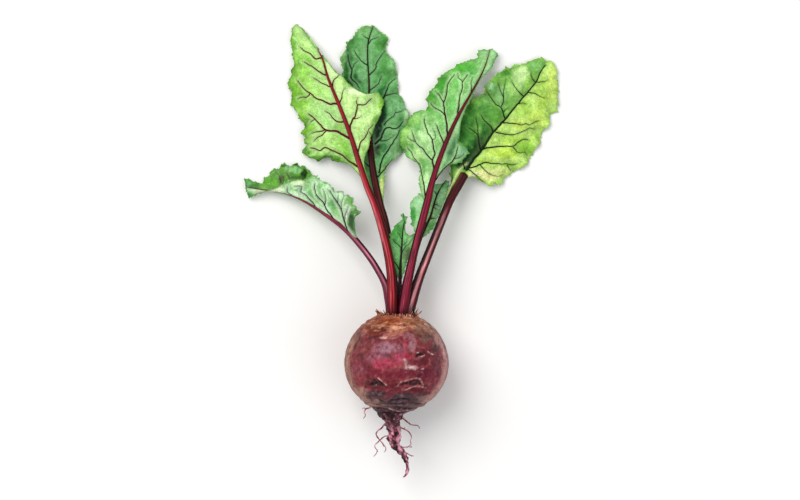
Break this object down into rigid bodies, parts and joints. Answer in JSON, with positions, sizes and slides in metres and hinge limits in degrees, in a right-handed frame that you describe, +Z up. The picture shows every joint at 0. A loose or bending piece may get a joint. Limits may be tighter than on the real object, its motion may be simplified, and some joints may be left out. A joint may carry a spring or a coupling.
{
  "type": "beetroot",
  "caption": "Round beetroot with its leaves and red stalks on, a knobbly tap root and fine side roots, lying on its side on a small flat spot.",
  "frame": {"origin": "on the surface it lies on, at the middle of the small flat spot under the bulb", "axes": "+Z up from the surface, +Y from the tap root along the bulb's axis towards the leaves, +X to the right seen from above"},
  "size_m": [0.214, 0.3087, 0.0694],
  "materials": {
    "root_skin": "matte, earthy beet skin, brown and corky at the crown",
    "fine_root": "matte, pink-brown root fibre",
    "dry_stalk": "matte, withered brown stalk stub",
    "red_stalk": "semi-gloss crimson stalk and midrib",
    "leaf_bright": "satin yellow-green leaf with crimson veins",
    "leaf_deep": "satin deep green leaf with dark veins",
    "leaf_underside": "matte grey-green leaf, its paler underside showing"
  },
  "bodies": {
    "root": {"beet_root": "root_skin", "side_root_1": "fine_root", "side_root_2": "fine_root", "side_root_3": "fine_root", "side_root_4": "fine_root", "side_root_5": "fine_root", "side_root_6": "fine_root", "side_root_7": "fine_root", "side_root_8": "fine_root", "dry_leaf_base_1": "dry_stalk", "dry_leaf_base_2": "dry_stalk", "dry_leaf_base_3": "dry_stalk", "dry_leaf_base_4": "dry_stalk", "dry_leaf_base_5": "dry_stalk", "dry_leaf_base_6": "dry_stalk", "dry_leaf_base_7": "dry_stalk", "tall_left_stalk": "red_stalk", "tall_left_blade": "leaf_bright", "back_centre_stalk": "red_stalk", "back_centre_blade": "leaf_deep", "drooping_left_stalk": "red_stalk", "drooping_left_blade": "leaf_underside", "upright_right_stalk": "red_stalk", "upright_right_blade": "leaf_bright", "broad_right_stalk": "red_stalk", "broad_right_blade": "leaf_bright", "young_centre_stalk": "red_stalk", "young_centre_blade": "leaf_deep", "small_right_stalk": "red_stalk", "small_right_blade": "leaf_deep"}
  },
  "joints": []
}
